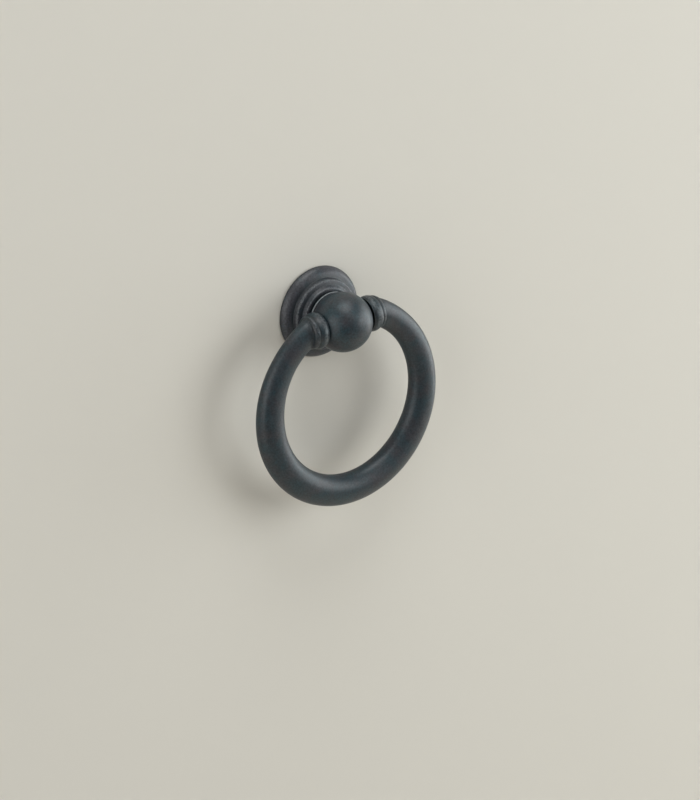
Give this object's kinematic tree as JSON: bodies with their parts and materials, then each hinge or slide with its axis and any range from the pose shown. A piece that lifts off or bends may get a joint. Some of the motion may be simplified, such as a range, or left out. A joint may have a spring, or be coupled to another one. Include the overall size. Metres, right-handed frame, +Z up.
{
  "type": "ring pull handle",
  "caption": "Drop ring pull for a cabinet or drawer: a stepped round rosette, a ball post and a tapered ring that swings in the ball.",
  "frame": {"origin": "centre of the rosette's back face, on the axis of the fixing hole", "axes": "+Y into the cabinet front, so the handle stands out along -Y; +Z up; +X to the right for someone facing the cabinet"},
  "size_m": [0.0488, 0.0161, 0.0541],
  "materials": {
    "rosette_paint": "matte black with a fine grain",
    "post_paint": "matte black with a fine grain",
    "ring_paint": "matte black with a fine grain"
  },
  "bodies": {
    "base": {"rosette": "rosette_paint", "ball_post": "post_paint"},
    "ring": {"ring": "ring_paint"}
  },
  "joints": [
    {"name": "ring_swing", "type": "hinge", "parent": "base", "child": "ring", "pos_m": [0, -0.0094, 0], "axis": [-1, 0, 0], "range_deg": [-8, 188]}
  ]
}
